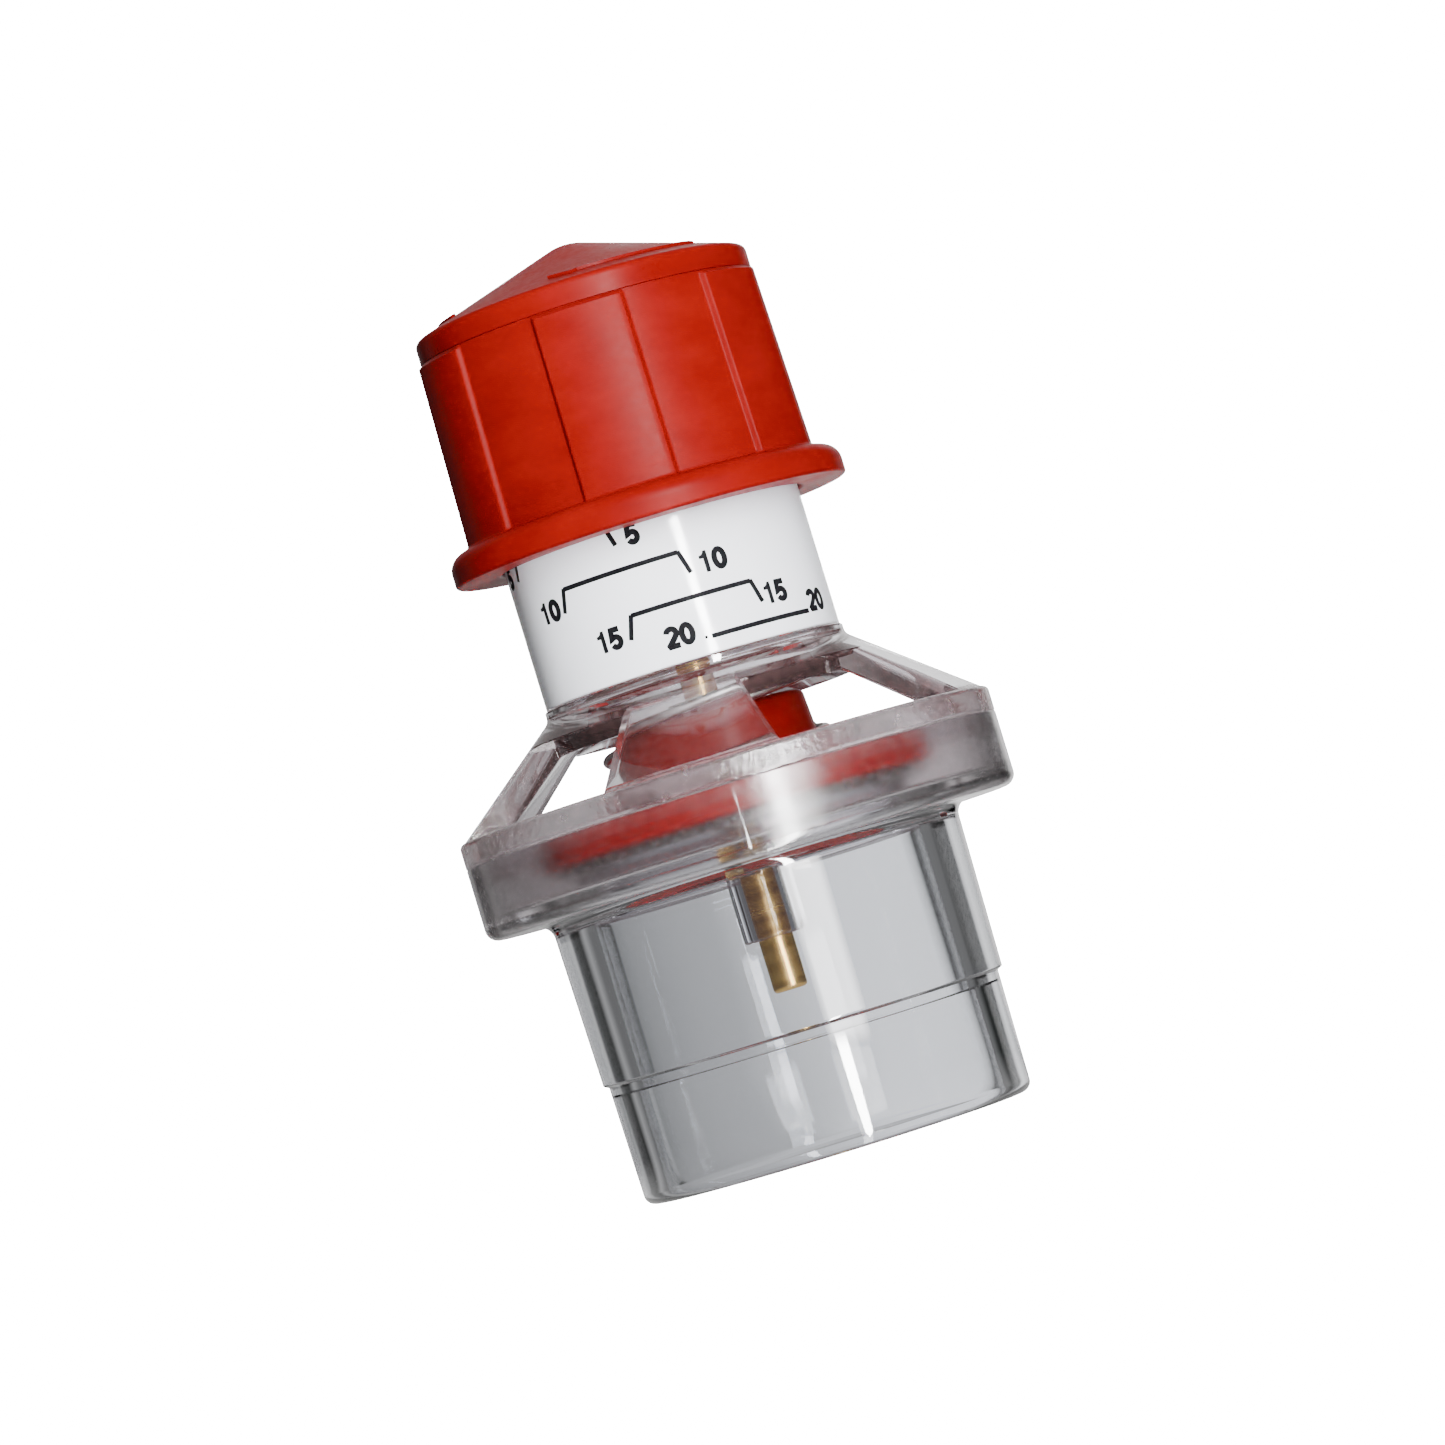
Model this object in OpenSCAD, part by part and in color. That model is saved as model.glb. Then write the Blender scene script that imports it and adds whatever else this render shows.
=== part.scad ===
// Adjustable PEEP valve for a breathing circuit, with a 30 mm female inlet.
// Frame: origin at the centre of the inlet mouth, +Z up the valve's axis, millimetres.
// It is drawn closed, with the cap screwed part way down.

/* [Inlet connector] */
// Radius of the female bore
bore_r = 15; // [14.95:0.01:15.2]
// Outer radius at the mouth
mouth_r = 17.2; // [16.8:0.05:17.3]
// Height of the step round the barrel
step_z = 10.6; // [8:0.1:14]
// Outer radius of the barrel just above the step
barrel_r = 17.8; // [17.6:0.05:18]
// Height of the ledge that stops the mating connector
ledge_z = 9.7; // [8:0.1:13]
// Radius of the throat above the ledge
throat_r = 14.55; // [14.3:0.05:14.9]
// Depth of the throat above the mouth
bore_depth = 24.9; // [24:0.1:25.1]

/* [Flange] */
// Outer radius of the flange
flange_r = 23.6; // [23.4:0.1:25]
// Underside of the flange
flange_z = 25.3; // [25.2:0.05:25.6]
// Height at which the housing splits
split_z = 31.8; // [31.6:0.1:32]
// Top edge of the flange, where the cone begins
flange_top = 34.05; // [33.9:0.05:34.3]
// Inner radius of the chamber
chamber_r = 21.4; // [20.5:0.1:21.5]

/* [Cage] */
// Radius where the cone runs into the neck
cone_r = 14.2; // [14.1:0.1:15]
// Height where the cone runs into the neck
cone_top = 41.15; // [40.9:0.05:41.5]
// Wall of the cone, square to its face
cone_wall = 2.5; // [2:0.1:2.6]
// Angle that one window spans
window_angle = 51.4; // [30:0.2:60]
// Number of windows
windows = 4; // [3:1:5]
// Outer radius of the neck
neck_r = 12.45; // [12.35:0.05:12.5]
// Bore radius of the neck
neck_bore_r = 11.35; // [11.33:0.01:11.45]
// Top of the neck
neck_top = 61.5; // [61.2:0.1:61.7]

/* [Scale sleeve] */
// Outer radius of the sleeve
sleeve_r = 13.1; // [12.9:0.05:13.15]
// Bottom edge of the sleeve
sleeve_z = 42.8; // [42.6:0.05:43]
// Top edge of the sleeve
sleeve_top = 59.4; // [58:0.1:59.5]

/* [Cap] */
// Bottom edge of the cap
cap_z = 55; // [54.5:0.05:55.5]
// Radius of the rim round the cap's edge
cap_rim_r = 17.45; // [16:0.05:18]
// Radius of a grip panel at its foot
grip_r = 15.8; // [15.6:0.05:15.9]
// Radius of a grip panel at its top
grip_top_r = 15.4; // [15.3:0.05:15.6]
// Depth of the recesses between the panels
grip_depth = 0.45; // [0.2:0.05:0.6]
// Number of grip panels
grips = 6; // [3:1:12]
// Angle of the first panel, which tells how far the cap is turned
grip_angle = 19.6; // [0:0.1:60]
// Height at which the cover sits on the cap
cover_z = 74.1; // [73.9:0.1:74.4]
// Tip of the conical cover
tip_z = 80.8; // [79.9:0.1:84]

/* [Screw] */
// Rise of the cap in one turn
lead = 9; // [8:0.5:12]
// Number of threads
starts = 2; // [2:1:2]
// Outer radius of the threads
thread_r = 11.25; // [11.2:0.01:11.27]

/* [Valve] */
// Radius of the valve disc
disc_r = 17.3; // [16.8:0.1:17.6]
// Radius of the guide pin
pin_r = 1.5; // [1.3:0.05:1.6]
// Bottom of the guide pin
pin_z = 14.25; // [10:0.05:16]
// Top of the guide pin
pin_top = 59; // [57:0.1:59.2]
// Diameter of the spring wire
wire = 0.8; // [0.6:0.05:0.9]
// Working turns of the spring, without its two closed end turns
coils = 7.7; // [6:0.1:9]
// Angle at which the wire's lower end lies
spring_angle = 239; // [0:1:360]

/* [Hidden] */
$fn = 96;
e = 0.01;                         // overshoot that keeps a cut clean
fit = 0.05;                       // gap between parts of one body
slide = 0.06;                     // radial clearance of a sliding pin

mouth_top_r = mouth_r + 0.15;     // the connector widens a little up to the step
barrel_top_r = barrel_r + 0.25;   // and the barrel up to the flange
step_rise = 0.3;                  // height of the step's slope
mouth_round = 0.9;
mouth_chamfer = 0.5;
barrel_fillet = 1.2;              // where the barrel meets the flange
flange_foot_round = 1.1;
floor_z = bore_depth + 2;         // floor of the chamber
passage_r = 13.4;                 // gas passage through the seat
seat_z = 28.6;                    // top of the seat's lip
seat_r = 14.8;                    // outer radius of the lip
seat_round = 0.5;
boss_r = 2.7;                     // guide boss on the spider
boss_z = 18.9;
boss_top = 27.5;
arm_w = 1.4;                      // thickness of a spider arm
arm_bite = 0.4;                   // how far an arm runs into the wall round it
tongue_z = 30.6;                  // tip of the cage's tongue
tongue_r = 22.3;
gasket_z = 29.9;

flange_round = 0.5;               // top corner of the flange
cone_foot_r = flange_r - flange_round;
run = cone_foot_r - cone_r;
rise = cone_top - flange_top;
slope = sqrt(run * run + rise * rise);
wall_z = cone_wall * slope / run; // the cone's wall, measured straight down
window_top = cone_top - 1.15;
neck_foot_r = 13.3;               // the neck below the sleeve
neck_fillet = 0.9;
neck_top_round = 0.4;
sleeve_round = 0.3;

oring_z = 60.4;
oring_wire = 0.6;                 // radius of its section
oring_r = neck_r + 0.15;          // radius of its centre line
oring_room = 0.1;                 // play of the ring in its groove
cap_bore_r = 13.3;
rim_top = cap_z + 2.8;
rim_round = 1.5;                  // top corner of the rim
small_round = 0.3;                // the cap's other corners
panel_z = rim_top - 0.5;          // foot of the panels, inside the rim
panel_in = cap_bore_r + 0.3;      // inner face of the panels, inside the wall
roof_z = 72.6;                    // underside of the cap's roof
guide_r = 3.2;                    // tube round the top of the pin
guide_z = cap_z - 1.2;
core_r = 10.05;                   // bore of the screw tube
core_out = 10.85;
core_z = 46.5;
thread_z = 48;                    // middle of the first thread at angle 0
thread_turns = 2.6;
thread_foot = 1;                  // half the thread's height where it meets the tube
thread_crest = 0.6;               // and at its crest
thread_bite = 0.3;                // how far the thread runs into the tube
washer_z = roof_z - 0.85;
washer_h = 0.8;
washer_bore = 5;
cover_r = 14.8;
cover_edge = 76.25;
cover_wall = 1.8;
cover_bevel = 0.45;               // how far the cone's edge is turned down
cover_bevel_in = 0.4;             // and in
cover_round = 0.2;
cover_roof = 2.8;                 // thickness of the cover at its tip
tip_round = 5;                    // radius of the rounded tip
cover_slope = atan((tip_z - cover_edge) / cover_r);
tip_join = tip_z - tip_round * (1 - cos(cover_slope));
lug_z = thread_z + lead / starts / 2 + 2 * lead / starts;
lug_h = 1.5;
lug_angle = 14;
lug_reach = 0.4;                  // how far a lug stands into the bore, and into the wall
spigot_r = 12;                    // ring under the cover that sits in the cap's groove
spigot_out = 13;
spigot_h = 0.8;
tube_seat = 0.6;                  // how far the screw tube sits in the cap's roof
pin_room = 0.7;                   // hole above the roof's underside, for the pin's top

plate_z = 29.4;                   // underside of the disc's plate
plate_top = 31;
nose_z = plate_z - 1.1;           // the disc's nose reaches into the passage
hub_r = 8.8;
hub_top_r = 8.4;
hub_z = 38.5;
disc_rim = 1;                     // height and width of the rim round the disc
disc_rim_foot = 1.4;
disc_round = 0.4;
hub_round = 0.6;
nose_r = passage_r - 1;
pocket_in = 3;                    // the pocket that lightens the hub from below
pocket_out = 7.2;
pocket_top = hub_z - 1.3;
press = 0.02;                     // clearance of the pin pressed in the disc
seal_r = seat_r + 1.6;
pin_chamfer = 0.4;
pin_groove = 0.25;                // depth of the clip's groove
clip_z = hub_z + 0.05;
clip_h = 0.5;
clip_r = 3.1;
clip_gap = 2.2;                   // mouth of the clip
clip_hole_r = 0.65;               // holes for the pliers
clip_hole_at = 2;
spring_r = 9.4;                   // radius of the wire's centre line

// A square corner of side r at [x, z] less the round that sits in it. sx and sz point into it.
module corner(x, z, r, sx, sz) {
    difference() {
        translate([x + (sx < 0 ? -r : 0), z + (sz < 0 ? -r : 0)]) square(r);
        translate([x + sx * r, z + sz * r]) circle(r);
    }
}

// A plain ring between two radii and two heights.
module ring(r_in, r_out, z0, z1) {
    translate([0, 0, z0]) difference() {
        cylinder(h = z1 - z0, r = r_out);
        translate([0, 0, -1]) cylinder(h = z1 - z0 + 2, r = r_in);
    }
}

// A turned shape from its half section, over an angle that starts at turn.
module turned(angle = 360, turn = 0) {
    rotate([0, 0, turn]) rotate_extrude(angle = angle) children();
}

// Rise of a helix after t of its turns. Each end has a turn or so that rises only by close a turn.
function climb(t, pitch, turns, ends, close) =
    t < ends ? close * t
    : t > turns - ends ? pitch * (turns - 2 * ends) + close * (t - turns + 2 * ends)
    : close * ends + pitch * (t - ends);

// Points of a bar bent into a helix: sides is its cross section as [radius, height] pairs.
function helix_points(sides, pitch, turns, steps, ends, close) = [
    for (i = [0 : steps], p = sides)
        let (t = turns * i / steps)
        [p[0] * cos(360 * t), p[0] * sin(360 * t), p[1] + climb(t, pitch, turns, ends, close)]];

// Faces of that bar, with m points round it, and its two ends.
function helix_faces(m, steps) = concat(
    [[for (j = [0 : m - 1]) j]],
    [for (i = [0 : steps - 1], j = [0 : m - 1], half = [0, 1])
        let (a = i * m + j, b = i * m + (j + 1) % m)
        half == 0 ? [a, a + m, b] : [b, a + m, b + m]],
    [[for (j = [m - 1 : -1 : 0]) steps * m + j]]);

module helix(sides, pitch, turns, steps, ends = 0, close = 0) {
    polyhedron(helix_points(sides, pitch, turns, steps, ends, close),
               helix_faces(len(sides), steps), 12);
}

// Clear lower half of the housing: connector, flange, valve seat and the spider that guides the pin.
module inlet_body() {
    color([0.80, 0.83, 0.86, 0.45]) {
        difference() {
            turned() difference() {
                union() {
                    polygon([[passage_r, 0], [mouth_r, 0], [mouth_top_r, step_z],
                             [barrel_r, step_z + step_rise], [barrel_top_r, flange_z - barrel_fillet],
                             [barrel_top_r, flange_z], [flange_r, flange_z], [flange_r, split_z],
                             [chamber_r, split_z], [chamber_r, floor_z], [seat_r, floor_z],
                             [seat_r, seat_z], [passage_r, seat_z]]);
                    corner(barrel_top_r, flange_z, barrel_fillet, 1, -1);
                }
                corner(mouth_r, 0, mouth_round, -1, 1);
                corner(flange_r, flange_z, flange_foot_round, -1, 1);
                corner(seat_r, seat_z, seat_round, -1, -1);
            }
            translate([0, 0, -1]) cylinder(h = ledge_z + 1, r = bore_r);
            translate([0, 0, -1]) cylinder(h = bore_depth + 1, r = throat_r);
            translate([0, 0, -e])
                cylinder(h = mouth_chamfer + e, r1 = bore_r + mouth_chamfer, r2 = bore_r);
            translate([0, 0, gasket_z]) cylinder(h = split_z, r = tongue_r + fit);
        }
        spider();
    }
}

// Four thin arms that hold the guide boss in the middle of the gas passage.
module spider() {
    difference() {
        union() {
            translate([0, 0, boss_z]) cylinder(h = boss_top - boss_z, r = boss_r);
            for (a = [45, 135]) rotate([0, 0, a])
                translate([-passage_r - arm_bite, -arm_w / 2, bore_depth - arm_bite])
                    cube([2 * (passage_r + arm_bite), arm_w, floor_z - bore_depth + arm_bite]);
        }
        translate([0, 0, boss_z - 1]) cylinder(h = boss_top, r = pin_r + slide);
    }
}

// Height of the cone's inner face at radius r.
function under_cone(r) = flange_top + rise / run * (cone_foot_r - r) - wall_z;

// Clear upper half of the housing: tongue, cone with its windows, and the threaded neck.
module cage_body() {
    color([0.80, 0.83, 0.86, 0.45]) {
        difference() {
            turned() difference() {
                union() {
                    polygon([[chamber_r, tongue_z], [tongue_r, tongue_z], [tongue_r, split_z],
                             [flange_r, split_z], [flange_r, flange_top], [cone_foot_r, flange_top],
                             [cone_r, cone_top], [neck_foot_r, cone_top], [neck_foot_r, sleeve_z],
                             [neck_r, sleeve_z], [neck_r, neck_top], [neck_bore_r, neck_top],
                             [neck_bore_r, under_cone(neck_bore_r)],
                             [chamber_r, under_cone(chamber_r)]]);
                    corner(neck_foot_r, cone_top, neck_fillet, 1, 1);
                }
                corner(flange_r, flange_top, flange_round, -1, -1);
                corner(neck_r, neck_top, neck_top_round, -1, -1);
            }
            for (i = [0 : windows - 1])
                turned(window_angle, 360 / windows * i - window_angle / 2)
                    translate([neck_foot_r, flange_top])
                        square([flange_r, window_top - flange_top]);
            ring(neck_r - oring_wire, neck_r + 1,
                 oring_z - oring_wire - oring_room, oring_z + oring_wire + oring_room);
        }
        for (i = [0 : starts - 1])
            turned(lug_angle, 360 / starts * i - lug_angle / 2)
                translate([neck_bore_r - lug_reach, lug_z - lug_h / 2]) square([2 * lug_reach, lug_h]);
    }
}

// Flat silicone ring at the bottom of the tongue's groove.
module body_gasket() {
    color([0.88, 0.88, 0.86]) ring(chamber_r, tongue_r, gasket_z, tongue_z);
}

// White sleeve round the neck, which carries the printed scale.
module scale_sleeve() {
    color([0.96, 0.96, 0.97]) difference() {
        turned() difference() {
            translate([neck_r, sleeve_z]) square([sleeve_r - neck_r, sleeve_top - sleeve_z]);
            corner(sleeve_r, sleeve_top, sleeve_round, -1, -1);
        }
        translate([0, 0, sleeve_z - 1]) cylinder(h = neck_top, r = neck_r + fit);
    }
}

// Rubber ring that drags on the cap's bore and holds the setting.
module neck_oring() {
    color([0.12, 0.12, 0.13])
        turned() translate([oring_r, oring_z]) circle(oring_wire);
}

// Red cap: rim, grip panels, roof and the tube that steadies the pin.
module cap_shell() {
    color([0.78, 0.13, 0.11]) difference() {
        union() {
            turned() difference() {
                translate([0, cap_z]) square([cap_rim_r, rim_top - cap_z]);
                corner(cap_rim_r, cap_z, small_round, -1, 1);
                corner(cap_rim_r, rim_top, rim_round, -1, -1);
            }
            turned() polygon([[0, panel_z], [grip_r - grip_depth, panel_z],
                              [grip_top_r - grip_depth, cover_z], [0, cover_z]]);
            for (i = [0 : grips - 1])
                turned(180 / grips, grip_angle + 360 / grips * i - 90 / grips)
                    difference() {
                        polygon([[panel_in, panel_z], [grip_r, panel_z],
                                 [grip_top_r, cover_z], [panel_in, cover_z]]);
                        corner(grip_top_r, cover_z, small_round, -1, -1);
                    }
            translate([0, 0, guide_z]) cylinder(h = roof_z - guide_z, r = guide_r);
        }
        ring(guide_r, cap_bore_r, cap_z - 1, roof_z);
        translate([0, 0, guide_z - 1]) cylinder(h = roof_z + pin_room - guide_z + 1, r = pin_r + slide);
        ring(core_r - fit, core_out + fit, roof_z - 1, roof_z + tube_seat);
        ring(spigot_r - fit, spigot_out + fit, cover_z - spigot_h - fit, cover_z + 1);
    }
}

// Conical cover pressed into the top of the cap.
module cap_cover() {
    color([0.80, 0.12, 0.10]) {
        turned() difference() {
            polygon([[0, tip_join], [tip_round * sin(cover_slope), tip_join],
                     [cover_r - cover_bevel_in, cover_edge], [cover_r, cover_edge - cover_bevel],
                     [cover_r, cover_z], [cover_r - cover_wall, cover_z],
                     [cover_r - cover_wall, cover_edge - cover_wall],
                     [1, tip_z - cover_roof], [0, tip_z - cover_roof]]);
            corner(cover_r, cover_z, cover_round, -1, 1);
        }
        intersection() {
            translate([0, 0, tip_z - tip_round]) sphere(tip_round);
            translate([0, 0, tip_join - 0.3]) cylinder(h = 1, r = tip_round);
        }
        ring(spigot_r, spigot_out, cover_z - spigot_h, cover_z + 0.4);
    }
}

// Tube pressed into the cap's roof, with the threads that ride on the neck's lugs.
module screw_tube() {
    color([0.78, 0.13, 0.11]) {
        ring(core_r, core_out, core_z, roof_z + tube_seat);
        for (i = [0 : starts - 1]) rotate([0, 0, 360 / starts * i])
            helix([[core_out - thread_bite, thread_z - thread_foot],
                   [core_out - thread_bite, thread_z + thread_foot],
                   [thread_r, thread_z + thread_crest], [thread_r, thread_z - thread_crest]],
                  lead, thread_turns, round(24 * thread_turns));
    }
}

// Washer under the cap's roof: the spring presses on it and the cap turns over it.
module thrust_washer() {
    color([0.93, 0.93, 0.90]) ring(washer_bore, core_r - 0.2, washer_z, washer_z + washer_h);
}

// Steel compression spring between the valve disc and the thrust washer.
module spring() {
    foot = plate_top + wire / 2 + slide / 2;
    height = washer_z - wire / 2 - slide / 2 - foot;
    close = wire * 1.02;
    color([0.55, 0.55, 0.57]) rotate([0, 0, spring_angle])
        helix([for (j = [7 : -1 : 0])
                   [spring_r + wire / 2 * cos(45 * j), foot + wire / 2 * sin(45 * j)]],
              (height - 2 * close) / coils, coils + 2, round(16 * (coils + 2)), 1, close);
}

// Red disc that closes on the seat, with the hub that carries the spring and the pin.
module valve_disc() {
    color([0.70, 0.12, 0.10]) difference() {
        turned() difference() {
            polygon([[0, nose_z], [nose_r, nose_z], [nose_r, plate_z], [disc_r, plate_z],
                     [disc_r, plate_top + disc_rim], [disc_r - disc_rim, plate_top + disc_rim],
                     [disc_r - disc_rim_foot, plate_top], [hub_r, plate_top], [hub_top_r, hub_z],
                     [0, hub_z]]);
            corner(disc_r, plate_z, disc_round, -1, 1);
            corner(disc_r, plate_top + disc_rim, disc_round, -1, -1);
            corner(hub_top_r, hub_z, hub_round, -1, -1);
        }
        ring(pocket_in, pocket_out, nose_z - 1, pocket_top);
        translate([0, 0, nose_z - 1]) cylinder(h = hub_z, r = pin_r + press);
    }
}

// Soft ring under the disc that meets the lip of the seat.
module valve_seal() {
    color([0.88, 0.88, 0.86]) ring(nose_r + fit, seal_r, seat_z + fit, plate_z);
}

// Brass pin that runs through the disc, guided by the spider below and the cap above.
module guide_pin() {
    color([0.80, 0.62, 0.30]) difference() {
        turned() polygon([[0, pin_z], [pin_r - pin_chamfer, pin_z], [pin_r, pin_z + pin_chamfer],
                          [pin_r, pin_top - pin_chamfer], [pin_r - pin_chamfer, pin_top], [0, pin_top]]);
        ring(pin_r - pin_groove, pin_r + 1, clip_z - 0.02, clip_z + clip_h + 0.02);
    }
}

// Spring steel clip that keeps the disc on the pin.
module pin_clip() {
    color([0.60, 0.60, 0.62]) difference() {
        ring(pin_r - 0.2, clip_r, clip_z, clip_z + clip_h);
        translate([0, -clip_gap / 2, clip_z - 1]) cube([clip_r + 1, clip_gap, 3]);
        for (a = [120, 240]) rotate([0, 0, a])
            translate([clip_hole_at, 0, clip_z - 1]) cylinder(h = 3, r = clip_hole_r);
    }
}

inlet_body();
cage_body();
body_gasket();
scale_sleeve();
neck_oring();
cap_shell();
cap_cover();
screw_tube();
thrust_washer();
spring();
valve_disc();
valve_seal();
guide_pin();
pin_clip();
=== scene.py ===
"""Looks of an adjustable PEEP valve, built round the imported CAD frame. Outlines are in millimetres."""
import math

import bmesh
import bpy
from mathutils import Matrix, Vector


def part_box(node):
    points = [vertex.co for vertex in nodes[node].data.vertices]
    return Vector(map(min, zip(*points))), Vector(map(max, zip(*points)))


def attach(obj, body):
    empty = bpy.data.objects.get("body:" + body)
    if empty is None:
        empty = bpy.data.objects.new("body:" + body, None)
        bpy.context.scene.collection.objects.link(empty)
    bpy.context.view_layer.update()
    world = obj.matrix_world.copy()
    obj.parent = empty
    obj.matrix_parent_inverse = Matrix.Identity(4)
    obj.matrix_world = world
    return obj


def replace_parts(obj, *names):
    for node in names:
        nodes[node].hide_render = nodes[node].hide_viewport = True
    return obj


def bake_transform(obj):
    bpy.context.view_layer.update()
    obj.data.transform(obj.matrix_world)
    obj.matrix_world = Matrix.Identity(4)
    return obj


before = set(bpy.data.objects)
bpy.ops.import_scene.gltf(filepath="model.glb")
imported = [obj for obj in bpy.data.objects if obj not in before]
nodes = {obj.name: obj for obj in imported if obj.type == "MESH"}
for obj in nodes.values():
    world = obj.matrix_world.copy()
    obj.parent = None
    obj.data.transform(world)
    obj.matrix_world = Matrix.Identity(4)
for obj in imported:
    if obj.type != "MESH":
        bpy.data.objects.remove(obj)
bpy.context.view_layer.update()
MM = 0.001
TURN = 2 * math.pi

# ---- sizes, from the frame --------------------------------------------------------------------


def radius_of(node):
    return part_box(node)[1].x / MM


def bottom_of(node):
    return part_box(node)[0].z / MM


def top_of(node):
    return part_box(node)[1].z / MM


FLANGE_R = radius_of("inlet_body")
SPLIT_Z = top_of("inlet_body")
NECK_TOP = top_of("cage_body")
TONGUE_Z = bottom_of("cage_body")
TONGUE_R = radius_of("body_gasket")
CHAMBER_R = TONGUE_R - 0.9
SLEEVE_R = radius_of("scale_sleeve")
SLEEVE_Z = bottom_of("scale_sleeve")
SLEEVE_TOP = top_of("scale_sleeve")
CAP_R = radius_of("cap_shell")
GUIDE_Z = bottom_of("cap_shell")
CAP_Z = GUIDE_Z + 1.2
RIM_TOP = CAP_Z + 2.8
COVER_Z = top_of("cap_shell")
TIP_Z = top_of("cap_cover")
COVER_R = radius_of("cap_cover")
DISC_R = radius_of("valve_disc")
HUB_Z = top_of("valve_disc")
PIN_R = radius_of("guide_pin")
PIN_Z = bottom_of("guide_pin")
PIN_TOP = top_of("guide_pin")
SPRING_Z = bottom_of("spring")
SPRING_TOP = top_of("spring")
SEAL_Z = bottom_of("valve_seal")
PLATE_Z = top_of("valve_seal")

# Sizes that a box can't tell, as the CAD has them.
BORE_R, LEDGE_Z, THROAT_R, BORE_TOP = 15.0, 9.7, 14.55, 24.9
MOUTH_R, STEP_Z, BARREL_R = 17.2, 10.6, 17.8
FLANGE_Z, FLANGE_TOP, FLANGE_ROUND = 25.3, 34.05, 0.5
PASSAGE_R, SEAT_R, SEAT_Z, FLOOR_Z = 13.4, 14.8, SEAL_Z - 0.05, 26.9
BOSS_R, BOSS_Z, BOSS_TOP, ARM_W = 2.7, 18.9, 27.5, 1.4
CONE_FOOT_R, CONE_R, CONE_TOP, CONE_WALL = FLANGE_R - FLANGE_ROUND, 14.2, 41.15, 2.5
NECK_R, NECK_BORE_R, NECK_FOOT_R = 12.45, 11.35, 13.3
WINDOW_TOP, WINDOW_ANGLE, WINDOWS = 40.0, 51.4, 4
CAP_BORE_R, ROOF_Z, GUIDE_R = 13.3, 72.6, 3.2
GRIP_R, GRIP_TOP_R, GRIP_DEPTH, GRIPS = 15.8, 15.4, 0.45, 6
GRIP_ANGLE = 19.6
WIRE, SPRING_R, COILS, SPRING_ANGLE = 0.8, 9.4, 7.7, 239
HUB_R, HUB_TOP_R, PLATE_TOP = 8.8, 8.4, PLATE_Z + 1.6
VIEW_ANGLE = -38.4  # the side of the valve that faces the camera, from +X towards +Y

# ---- mesh helpers -----------------------------------------------------------------------------


def arc(r, z, size, start, end, steps=7):
    """Points of a round corner with its centre at (r, z), between two angles in degrees."""
    turn = [math.radians(start + (end - start) * i / steps) for i in range(steps + 1)]
    return [(r + size * math.cos(a), z + size * math.sin(a)) for a in turn]


def make_object(name, bm, body, material, sharp=32):
    """An object from a bmesh in millimetres, shaded smooth up to the sharp angle, riding on a body."""
    bmesh.ops.remove_doubles(bm, verts=bm.verts, dist=1e-5)
    bmesh.ops.delete(bm, geom=[v for v in bm.verts if not v.link_faces], context="VERTS")
    bmesh.ops.recalc_face_normals(bm, faces=bm.faces)
    bmesh.ops.scale(bm, vec=(MM, MM, MM), verts=bm.verts)
    mesh = bpy.data.meshes.new(name)
    bm.to_mesh(mesh)
    bm.free()
    mesh.polygons.foreach_set("use_smooth", [True] * len(mesh.polygons))
    mesh.set_sharp_from_angle(angle=math.radians(sharp))
    piece = bpy.data.objects.new(name, mesh)
    bpy.context.scene.collection.objects.link(piece)
    piece.data.materials.append(material)
    if body:
        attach(piece, body)
    return piece


def even_angles(steps):
    return [TURN * i / steps for i in range(steps)]


LONG_STRETCH, HOLD = 0.5, 0.04


def held(points, closed=False):
    """The points, with two more near the ends of each long stretch, so its shading stays straight."""
    out = []
    ahead = points[1:] + (points[:1] if closed else [])
    for a, b in zip(points, ahead):
        length = math.dist(a, b)
        out.append(a)
        if length > LONG_STRETCH:
            for f in (HOLD / length, 1 - HOLD / length):
                out.append((a[0] + (b[0] - a[0]) * f, a[1] + (b[1] - a[1]) * f))
    return out if closed else out + points[-1:]


def lathe(outline, angles=None, radius=None):
    """A bmesh turned from a closed outline of (r, z) points. radius(angle, r, z) may reshape it."""
    angles = angles or even_angles(192)
    outline = held(outline, True)
    bm = bmesh.new()
    rings = []
    for r, z in outline:
        if r < 1e-6:
            rings.append([bm.verts.new((0, 0, z))] * len(angles))
            continue
        ring = []
        for a in angles:
            s = radius(a, r, z) if radius else r
            ring.append(bm.verts.new((s * math.cos(a), s * math.sin(a), z)))
        rings.append(ring)
    for i, low in enumerate(rings):
        high = rings[(i + 1) % len(rings)]
        for k in range(len(angles)):
            n = (k + 1) % len(angles)
            corners = [low[k], low[n], high[n], high[k]]
            distinct = list(dict.fromkeys(corners))
            if len(distinct) > 2:
                bm.faces.new(distinct)
    return bm


def add_box(low, high, turn=0.0, round_by=0.0):
    """A bmesh box between two corners, turned about Z by degrees, with its edges rounded."""
    bm = bmesh.new()
    bmesh.ops.create_cube(bm, size=1)
    for v in bm.verts:
        v.co = Vector(low[i] + (v.co[i] + 0.5) * (high[i] - low[i]) for i in range(3))
    if round_by:
        bmesh.ops.bevel(bm, geom=bm.edges[:], offset=round_by, segments=3, affect="EDGES")
    a = math.radians(turn)
    for v in bm.verts:
        x, y = v.co.x, v.co.y
        v.co.x, v.co.y = x * math.cos(a) - y * math.sin(a), x * math.sin(a) + y * math.cos(a)
    return bm


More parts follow.
